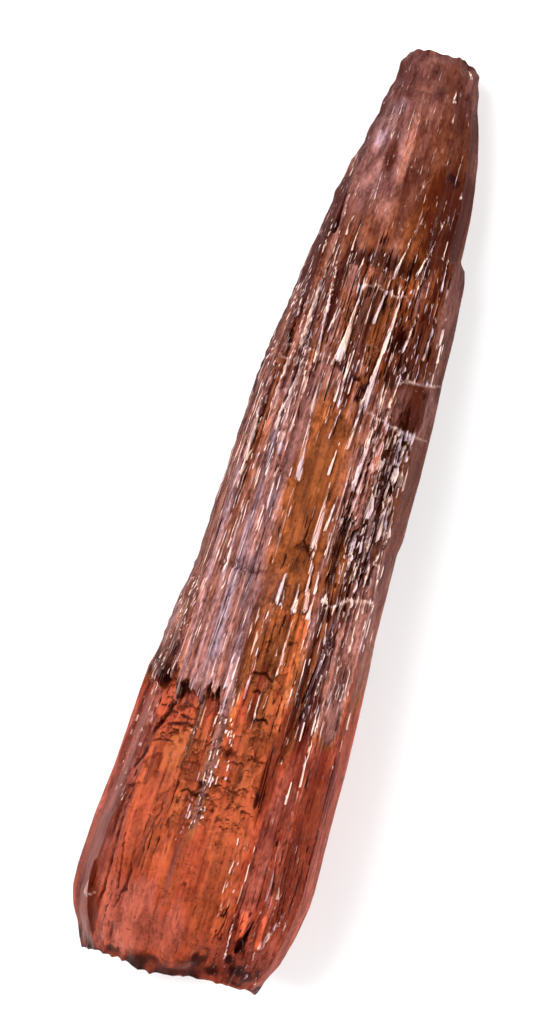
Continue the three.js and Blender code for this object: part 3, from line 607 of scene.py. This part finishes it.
def painted(s, skin):
    """The tone and the hue of each place, before its marks, and how much it is drawn in long fibres."""
    t, a, up = s.from_tip, s.across, s.out[..., 1]
    ragged = 0.5 * (s.noise(0.5, 6, 57) - 0.5) + 0.3 * (s.noise(0.2, 2.5, 58) - 0.5)
    tone, hue = np.full_like(t, 0.3), mix(0.1, 1.4, smooth(47.5, 49, t + 14 * ragged))
    for patch_t, patch_a, tall, wide, patch_tone, patch_hue in PATCHES:
        off = np.hypot((t - patch_t) / tall, (a - patch_a) / wide) + ragged
        share = (1 - smooth(0.65, 1.15, off)) * s.front
        tone, hue = mix(tone, patch_tone, share), mix(hue, patch_hue, share)
    # The skin keeps its mauve down to its ragged edge, but for a dark hollow at the left
    kept = skin * s.front * band(43, 46, 51, 53, t) * smooth(-1.4, -1.9, a)
    tone = mix(tone, mix(0.38, 0.08, smooth(-6.2, -6.7, a) * smooth(45, 47, t)), kept)
    hue = mix(hue, 0, kept)
    # The amber middle, the right strip and the smooth plate are calmer
    amber = band(26, 29, 40, 44, t) * (1 - smooth(1.6, 2.4, np.abs(a + 0.3)))
    strip = smooth(5.1, 5.6, a) * smooth(0, 0.3, up)
    calm = np.maximum(np.maximum(amber, strip), smooth_plate(s))
    # Fibres mark the skin and, less, both sides of the bare window, the left of the tip and all of the tip
    fibrous = band(13, 18, 49.5, 53, t) * (1 - 0.85 * calm)
    fibrous += 0.5 * smooth(-6.6, -7.2, a) * band(47, 50, 66, 69, t)
    fibrous += 0.4 * smooth(2.4, 3.2, a) * band(47, 50, 64, 68, t)
    fibrous += 0.6 * smooth(-3.1, -3.6, a) * band(7, 10, 14, 17, t)
    fibrous += 0.12 * (1 - smooth(13, 18, t))
    fibrous = np.maximum(fibrous, 0.6 * (1 - smooth(-0.1, 0.15, up)))
    # The left of the skin is soft, and the low end is drawn out in broad streaks
    soft = band(24, 28, 46, 48, t) * (1 - smooth(-2.2, -1.4, a))
    low = smooth(50, 55, t) * (1 - smooth(2, 3, a))
    stripes = smooth(0.15, 0.85, 0.5 * s.noise(0.42, 24, 51) + 0.5 * s.noise(0.17, 14, 53)) - 0.5
    clouds = s.noise(0.8, 1.6, 55) + 0.6 * s.noise(0.35, 0.9, 56) - 0.8
    drawn = noise(s.arc / 0.4 + 0.5 * s.noise(1, 3, 43), t / 7, 45) - 0.5
    striped = (1.7 - 0.5 * soft) * (0.15 + 0.85 * fibrous) * stripes
    clouded = (0.75 - 0.45 * soft - 0.35 * low + 0.5 * (1 - smooth(11, 14, t))) * clouds
    tone = 1.15 * tone * (1 + striped + clouded) * (1 + 0.7 * low * drawn)
    hue += (0.3 + 0.6 * soft) * (s.noise(0.5, 18, 59) - 0.5 - 0.12 * soft) * fibrous
    # Painted shade: the faces that turn aside are darker, most near the tip, and the steep flanks darker
    # still
    edge = smooth(0.35, 0.9, np.abs(s.out[..., 0]))
    tone = tone * (1 - 0.5 * edge * (1 - smooth(28, 50, t))) - 0.06 * s.flank
    return np.clip(tone, 0, 1), np.clip(hue, -0.5, 1.5), fibrous


def end_rings(edge, hollow, seed):
    """Smaller and smaller rings that close the crystal at a broken end, from its middle out."""
    middle = edge.mean(0)
    rings = []
    for share in END_SHARES:
        ring = middle + (edge - middle) * share
        y, z = ring[:, 1], ring[:, 2]
        chips = np.abs(noise(y / 2.6, z / 2.6, seed) - 0.5) + 0.35 * noise(y / 0.9, z / 0.9, seed + 1) - 0.4
        flat = middle[0] + (edge[:, 0] - middle[0]) * share ** 3
        ring[:, 0] = flat + (hollow + chips) * (1 - share ** 6)
        rings.append(ring)
    return np.stack(rings)


def end_masks(masks, rings, edge, seed):
    """The masks of a broken end: glassy, mottled red and brown, fading into those of its rim."""
    y, z = rings[..., 1], rings[..., 2]
    tone = 0.1 + 0.3 * noise(y / 1.3, z / 1.3, seed + 2)
    dark = 0.7 * smooth(0.6, 0.85, noise(y / 0.7, z / 0.7, seed + 3))
    own = {"bare": 0.7, "tone": tone, "hue": 0.75, "dark": dark}
    rim = np.array(END_SHARES)[:, None] ** 8
    return {name: mix(own.get(name, 0.0), values[edge], rim) for name, values in masks.items()}


def crystal_mesh(sizes):
    """The whole crystal as one closed grid of rings, whose vertices carry the masks."""
    s = Surface(sizes.rings)
    move, masks = sculpt(s, sizes)
    point = s.point + s.out * move[..., None]
    chips = noise(s.arc / 2.3, 0, 21) + 0.6 * np.abs(noise(s.arc / 0.8, 0, 22) - 0.5) - 0.65
    lean = 0.045 * point[..., 1] * smooth(60, 70, s.from_tip)
    set_back = along(BASE_SHORTER, s.across) * smooth(66, 70, s.from_tip)
    ragged = sizes.base_chips * smooth(68.5, 70, s.from_tip) * chips
    bumps = 0.25 * chips + 0.3 * (noise(s.arc / 0.5, 0, 24) - 0.5) - along(TIP_SHORTER, s.across)
    ahead = LENGTH / 2 - s.from_tip + lean + set_back + ragged + bumps * (1 - smooth(0, 1.2, s.from_tip))
    side = np.stack([ahead, -point[..., 0], point[..., 1]], 2)
    base, tip = end_rings(side[0], 0.5, 3), end_rings(side[-1], -0.15, 4)
    grid = np.concatenate([base, side, tip[::-1]])
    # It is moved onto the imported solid
    low, high = grid.min((0, 1)), grid.max((0, 1))
    middle = (CAD_LOW.y + CAD_HIGH.y) / 2 / MM
    grid += (CAD_LOW.x / MM - BASE_PAST - low[0], middle - (low[1] + high[1]) / 2, CAD_LOW.z / MM - low[2])
    base_masks, tip_masks = end_masks(masks, base, 0, 5), end_masks(masks, tip, -1, 9)
    masks = {name: np.concatenate([base_masks[name], masks[name], tip_masks[name][::-1]]) for name in masks}
    rings, lines = grid.shape[:2]
    made = bmesh.new()
    bmesh.ops.create_grid(made, x_segments=lines, y_segments=rings - 1, size=1)
    layers = {name: made.verts.layers.float.new(name) for name in masks}
    for vert in made.verts:
        ring, line = round((vert.co.y + 1) / 2 * (rings - 1)), round((vert.co.x + 1) / 2 * lines) % lines
        vert.co = grid[ring, line] * MM
        for name, layer in layers.items():
            vert[layer] = masks[name][ring, line]
    # The grid's first and last lines meet, and so does each end's middle
    bmesh.ops.remove_doubles(made, verts=made.verts, dist=WELD)
    bmesh.ops.recalc_face_normals(made, faces=made.faces)
    mesh = bpy.data.meshes.new("crystal")
    made.to_mesh(mesh)
    made.free()
    mesh.shade_smooth()
    mesh.set_sharp_from_angle(angle=math.radians(sizes.crease))
    return mesh


class Value:
    """A shader socket that Python's arithmetic works on, by adding Math nodes."""

    def __init__(self, finish, socket):
        self.finish, self.socket = finish, socket

    def math(self, operation, *inputs):
        """A Math node's result from numbers and values."""
        return self.finish.node("ShaderNodeMath", {"operation": operation}, dict(enumerate(inputs)))

    def __add__(self, other):
        return self.math("ADD", self, other)

    def __sub__(self, other):
        return self.math("SUBTRACT", self, other)

    def __rsub__(self, other):
        return self.math("SUBTRACT", other, self)

    def __mul__(self, other):
        return self.math("MULTIPLY", self, other)

    def __abs__(self):
        return self.math("ABSOLUTE", self)

    __radd__, __rmul__ = __add__, __mul__


class Finish:
    """The node tree of a material or of the world, built by calls."""

    def __init__(self, owner):
        owner.use_nodes = True
        self.tree = owner.node_tree
        self.tree.nodes.clear()

    def node(self, kind, settings=None, inputs=None, output=0):
        """Adds a node, makes its settings, fills its sockets with values or links, and returns an output."""
        made = self.tree.nodes.new(kind)
        for name, value in (settings or {}).items():
            if name == "stops":
                for stop, (place, colour) in zip(made.color_ramp.elements, value):
                    stop.position, stop.color = place, (*colour, 1)
            else:
                setattr(made, name, value)
        for name, value in (inputs or {}).items():
            socket = made.inputs[name]
            if isinstance(value, Value):
                self.tree.links.new(value.socket, socket)
            else:
                socket.default_value = (*value, 1) if socket.type == "RGBA" else value
        return Value(self, made.outputs[output]) if made.outputs else None

    def attribute(self, name):
        """One of the mesh's masks."""
        return self.node("ShaderNodeAttribute", {"attribute_name": name}, output="Fac")

    def step(self, value, low, high):
        """A smooth step from 0 where a value is at low to 1 at high, which may be the smaller number."""
        inputs = {"Value": value, "From Min": low, "From Max": high}
        return self.node("ShaderNodeMapRange", {"interpolation_type": "SMOOTHSTEP"}, inputs)

    def swing(self, value, reach=0.15):
        """From -0.5 to 0.5 as a value passes its middle."""
        return self.step(value, 0.5 - reach, 0.5 + reach) - 0.5

    def lines(self, value, width):
        """1 on the thin lines where a value is at its middle, and 0 beyond their width."""
        return 1 - self.step(abs(value - 0.5), 0.003, width)

    def layered(self, colour, *layers):
        """A colour with others laid over it, each by its share."""
        for share, over in layers:
            colour = self.node("ShaderNodeMix", {"data_type": "RGBA"}, {0: share, 6: colour, 7: over}, 2)
        return colour

    def place(self, scale):
        """Object coordinates, scaled along each axis."""
        where = self.node("ShaderNodeTexCoord", output="Object")
        return self.node("ShaderNodeMapping", {}, {"Vector": where, "Scale": scale})

    def noise(self, scale, detail, distortion=0.0):
        """Noise in spots of one over the scale, in metres."""
        inputs = {"Vector": self.place(scale), "Scale": 1.0, "Detail": detail, "Distortion": distortion}
        return self.node("ShaderNodeTexNoise", {}, inputs)

    def shells(self, scale, amount):
        """Cells with a chance each, moved about by noise so that their borders bend."""
        where = self.place(scale)
        bend = self.node("ShaderNodeTexNoise", {}, {"Vector": where, "Scale": 1.3, "Detail": 2.0}, "Color")
        bent = {0: bend, 1: (amount, amount, amount), 2: where}
        where = self.node("ShaderNodeVectorMath", {"operation": "MULTIPLY_ADD"}, bent)
        return self.node("ShaderNodeTexVoronoi", {}, {"Vector": where, "Scale": 1.0}, "Color")


def tourmaline_material(looks):
    """A clear gem under a frosted skin, which follow the mesh's masks and fine noise along the crystal."""
    material = bpy.data.materials.new("tourmaline")
    f = Finish(material)
    masks = ("bare", "pale", "dark", "tone", "hue", "fibre", "healed")
    bare, pale, dark, tone, hue, fibre, healed = (f.attribute(name) for name in masks)
    threads = f.noise((35, 6000, 6000), 2.0)
    combed = f.noise((170, 5600, 5600), 2.0)
    tint = f.noise((32, 3200, 3200), 1.0)
    veins = f.noise((130, 2400, 2400), 3.0, 0.3)
    grain = f.noise((2600, 5200, 5200), 4.0)
    mottle = f.noise((900, 1400, 1400), 4.0, 0.8)
    ripples = f.noise((3000, 1500, 1500), 3.0, 1.0)
    waves = f.noise((2400, 1000, 1000), 2.0, 0.8)
    shell = f.shells((1100, 700, 700), 0.9)
    arcs = f.lines(waves, 0.016) * f.step(mottle, 0.47, 0.57) * bare
    seams = f.lines(f.noise((18, 1300, 1300), 1.0), 0.02) * fibre
    # How light the body is
    grown = 0.6 * f.swing(threads) * (0.3 + 0.7 * fibre)
    worn = 0.2 * (shell - 0.5) + 0.3 * f.swing(combed) + 0.5 * f.swing(veins) + 0.2 * f.swing(ripples, 0.2)
    clouded = (0.6 * f.swing(mottle) + 0.6 * f.swing(grain)) * (1 - 0.55 * bare)
    level = tone * (1.1 + grown + (worn + 0.1) * bare + clouded) - 0.16 * seams
    # Its colour: lilac, mauve, amber, red and rose, each from dark to light
    hue = hue + (tint - 0.5) * fibre
    to_amber, to_red = f.step(hue, 0.0, 0.5), f.step(hue, 0.5, 1.0)
    shade = f.layered(looks.mauve_shade, (to_amber, looks.amber_shade), (to_red, looks.red_shade))
    light = f.layered(
        looks.mauve_light, (f.step(hue, 0.0, -0.4), looks.lilac_light), (to_amber, looks.amber_light),
        (to_red, looks.red_light), (f.step(hue, 1.0, 1.5), looks.rose_light),
    )
    # Dark slits, arcs and stains with painted shade, then pale splinters, specks and walls of painted glint
    lit = f.step(tone, 0.25, 0.42)
    slits = f.step(f.noise((190, 5200, 5200), 1.0), 0.58, 0.72) * fibre * (1 - 0.7 * lit)
    # Stains, grooves and slits, together with the painted shade that the dark mask holds
    hollows = f.step(dark + 0.6 * arcs + 0.5 * slits, 0.05, 1.0)
    splinters = f.step(f.noise((90, 6000, 6000), 1.0), 0.59, 0.73) * fibre * (0.85 - 0.1 * lit)
    # Small pale specks on the skin that is neither fibrous nor bare
    pale_specks = f.step(f.noise((1500, 4200, 4200), 3.0, 0.5), 0.6, 0.75) * (1 - fibre) * (1 - bare)
    # The blades' pale walls are a painted glint
    walls = pale * (0.4 + 0.75 * f.step(threads, 0.35, 0.6))
    glints_and_pale_marks = f.step(walls + 0.6 * splinters + healed + 0.4 * pale_specks, 0.1, 0.8)
    flake = f.layered(looks.flake, (f.step(tint, 0.46, 0.6), looks.lilac_flake))
    ground = f.layered(shade, (level, light), (hollows, looks.deep), (glints_and_pale_marks, flake))
    # Relief too fine for the mesh
    relief = 0.5 * threads + 0.3 * grain - 0.4 * seams - 0.6 * arcs
    relief = relief + (0.3 * combed + 0.3 * shell + 0.5 * ripples) * bare
    normal = f.node("ShaderNodeBump", {}, {"Strength": 0.5, "Distance": 0.00008, "Height": relief})
    skin = f.node("ShaderNodeBsdfPrincipled", {}, {
        "Base Color": ground, "Roughness": 0.22 + 0.2 * f.step(grain, 0.3, 0.7), "IOR": REFRACTION,
        "Specular IOR Level": 0.0, "Coat Weight": 0.02, "Coat Roughness": 0.15, "Coat IOR": REFRACTION,
        "Normal": normal,
    })
    gem = f.node("ShaderNodeBsdfPrincipled", {}, {
        "Base Color": f.layered(ground, (0.2, looks.gem)), "Roughness": 0.2 - 0.1 * bare, "IOR": REFRACTION,
        "Transmission Weight": 1.0, "Specular Tint": looks.reflection, "Normal": normal,
    })
    cover = 0.82 - 0.24 * bare + 0.4 * glints_and_pale_marks
    surface = f.node("ShaderNodeMixShader", {}, {0: cover, 1: gem, 2: skin})
    depth = {"Color": looks.absorption, "Density": looks.density}
    volume = f.node("ShaderNodeVolumeAbsorption", {}, depth)
    f.node("ShaderNodeOutputMaterial", {}, {"Surface": surface, "Volume": volume})
    return material


def colour(name, description, default):
    """A colour that a user can change."""
    return FloatVectorProperty(
        name=name, description=description, subtype="COLOR", size=3, min=0, max=1, default=default
    )


class CrystalSettings(bpy.types.PropertyGroup):
    """The crystal's sizes and colours"""

    rings: IntProperty(name="Rings", description="Rings of the mesh along the crystal", default=372, min=50)
    plate_relief: FloatProperty(name="Plates", description="Height of the broad plates, in mm", default=0.3)
    stria_relief: FloatProperty(name="Striations", description="Height of the striae, in mm", default=0.08)
    crease: FloatProperty(name="Crease", description="Edges over this many degrees are sharp", default=32)
    base_chips: FloatProperty(name="Chips", description="How ragged the broken base is, in mm", default=0.8)
    mauve_light: colour("Mauve, light", "Frosted skin where it is light", (0.52, 0.22, 0.185))
    # Lilac also paints the sheen on the left of the tip
    lilac_light: colour("Lilac, light", "Lilac-white patches of the skin", (0.50, 0.33, 0.39))
    mauve_shade: colour("Mauve, dark", "Frosted skin where it is dark", (0.05, 0.007, 0.005))
    amber_light: colour("Amber, light", "Clear amber body where it is light", (0.56, 0.155, 0.045))
    amber_shade: colour("Amber, dark", "Clear amber body where it is dark", (0.045, 0.005, 0.0015))
    red_light: colour("Red, light", "Red-orange lower body where it is light", (0.70, 0.12, 0.05))
    rose_light: colour("Rose, light", "Rose lower end and bevels where they are light", (0.62, 0.165, 0.115))
    red_shade: colour("Red, dark", "Red-orange lower body where it is dark", (0.08, 0.006, 0.002))
    # Painted glint on the blades' walls, also the colour of pale splinters, specks and healed cracks
    flake: colour("Flakes", "Pale walls of the blades", (0.80, 0.56, 0.465))
    lilac_flake: colour("Flakes, lilac", "Lilac streaks in the pale walls", (0.60, 0.47, 0.53))
    # Also the colour of painted shade in hollows, beside the blades and along the arcs' steps
    deep: colour("Hollows", "Dark hollows and stains", (0.020, 0.0012, 0.0006))
    gem: colour("Gem", "Tint of the gem's surface", (1.0, 0.85, 0.75))
    reflection: colour("Reflection", "Tint of what the gem's surface mirrors", (0.12, 0.06, 0.045))
    absorption: colour("Depth", "Colour that the gem takes with depth", (0.83, 0.43, 0.113))
    density: FloatProperty(name="Density", description="How strongly the gem takes its colour", default=110)


class StageSettings(bpy.types.PropertyGroup):
    """The floor's colour and the strength of the lights"""

    floor: colour("Floor", "Colour of the floor", (0.9, 0.9, 0.9))
    sky: FloatProperty(name="Room light", description="Strength of the light all round", default=1.15)
    key: FloatProperty(name="Key light", description="Power of the main light, in watts", default=1.9)
    fill: FloatProperty(name="Fill light", description="Power of the second light, in watts", default=1.2)


class TOURMALINE_OT_crystal(bpy.types.Operator):
    """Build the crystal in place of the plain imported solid"""

    bl_idname = "tourmaline.crystal"
    bl_label = "Crystal"

    def execute(self, context):
        settings = context.scene.tourmaline_crystal
        crystal = bpy.data.objects.new("crystal", crystal_mesh(settings))
        context.scene.collection.objects.link(crystal)
        crystal.data.materials.append(tourmaline_material(settings))
        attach(crystal, "root")
        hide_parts(NODE)
        return {"FINISHED"}


class TOURMALINE_OT_stage(bpy.types.Operator):
    """Lay the floor, and place the lights and the camera"""

    bl_idname = "tourmaline.stage"
    bl_label = "Stage"

    def execute(self, context):
        settings = context.scene.tourmaline_stage
        lay_floor(context.scene, settings)
        light_room(context.scene, settings)
        place_camera(context.scene)
        return {"FINISHED"}


def lay_floor(scene, settings):
    """A pale floor, just below the crystal."""
    made = bmesh.new()
    bmesh.ops.create_grid(made, x_segments=1, y_segments=1, size=1.0)
    mesh = bpy.data.meshes.new("floor")
    made.to_mesh(mesh)
    made.free()
    material = bpy.data.materials.new("floor")
    f = Finish(material)
    paper = f.node("ShaderNodeBsdfPrincipled", {}, {"Base Color": settings.floor, "Roughness": 0.9})
    f.node("ShaderNodeOutputMaterial", {}, {"Surface": paper})
    mesh.materials.append(material)
    floor = bpy.data.objects.new("floor", mesh)
    floor.location.z = CAD_LOW.z - FLOOR_GAP
    scene.collection.objects.link(floor)


def light_room(scene, settings):
    """A room that is bright all round and dark overhead, and two lamps that point at the crystal."""
    scene.world = bpy.data.worlds.new("room")
    f = Finish(scene.world)
    where = f.node("ShaderNodeTexCoord", output="Generated")
    up = f.node("ShaderNodeSeparateXYZ", {}, {0: where}, "Z")
    shades = f.node("ShaderNodeValToRGB", {"stops": ROOM_SHADES}, {0: up})
    sky = f.node("ShaderNodeBackground", {}, {"Color": shades, "Strength": settings.sky})
    f.node("ShaderNodeOutputWorld", {}, {"Surface": sky})
    for name, place, size in LAMPS:
        light = bpy.data.lights.new(name, "AREA")
        light.size, light.energy = size, getattr(settings, name)
        holder = bpy.data.objects.new(name, light)
        holder.location = place
        holder.rotation_euler = (-Vector(place)).to_track_quat("-Z", "Y").to_euler()
        scene.collection.objects.link(holder)


def place_camera(scene):
    """A camera straight above the crystal, turned and framed as in the photograph."""
    data = bpy.data.cameras.new("camera")
    data.lens, data.sensor_width = LENS, SENSOR
    camera = bpy.data.objects.new("camera", data)
    scene.collection.objects.link(camera)
    side, ahead = math.sin(TURN), math.cos(TURN)
    covered = PHOTO_HEIGHT * LENGTH / CRYSTAL_PIXELS * MM
    from_tip, across, height = VIEW_CENTRE
    x, y, z = (LENGTH / 2 - from_tip) * MM, -across * MM, height * MM + covered * LENS / SENSOR
    camera.matrix_world = Matrix(((side, ahead, 0, x), (-ahead, side, 0, y), (0, 0, 1, z), (0, 0, 0, 1)))
    scene.camera = camera
    scene.view_settings.view_transform = "Standard"


class TOURMALINE_PT_panel(bpy.types.Panel):
    """The operators and their settings"""

    bl_label = "Rough Tourmaline"
    bl_idname = "TOURMALINE_PT_panel"
    bl_space_type = "VIEW_3D"
    bl_region_type = "UI"
    bl_category = "Tourmaline"

    def draw(self, context):
        for operator, settings in (
            (TOURMALINE_OT_crystal, context.scene.tourmaline_crystal),
            (TOURMALINE_OT_stage, context.scene.tourmaline_stage),
        ):
            box = self.layout.box()
            box.operator(operator.bl_idname)
            for name in settings.__annotations__:
                box.prop(settings, name)


CLASSES = (CrystalSettings, StageSettings, TOURMALINE_OT_crystal, TOURMALINE_OT_stage, TOURMALINE_PT_panel)


def register():
    """Makes the settings, the operators and the panel known."""
    for item in CLASSES:
        bpy.utils.register_class(item)
    bpy.types.Scene.tourmaline_crystal = PointerProperty(type=CrystalSettings)
    bpy.types.Scene.tourmaline_stage = PointerProperty(type=StageSettings)


def unregister():
    """Takes them away again."""
    del bpy.types.Scene.tourmaline_crystal
    del bpy.types.Scene.tourmaline_stage
    for item in reversed(CLASSES):
        bpy.utils.unregister_class(item)


def main():
    """Builds the crystal and the stage."""
    register()
    bpy.ops.tourmaline.crystal()
    bpy.ops.tourmaline.stage()


if __name__ == "__main__":
    main()
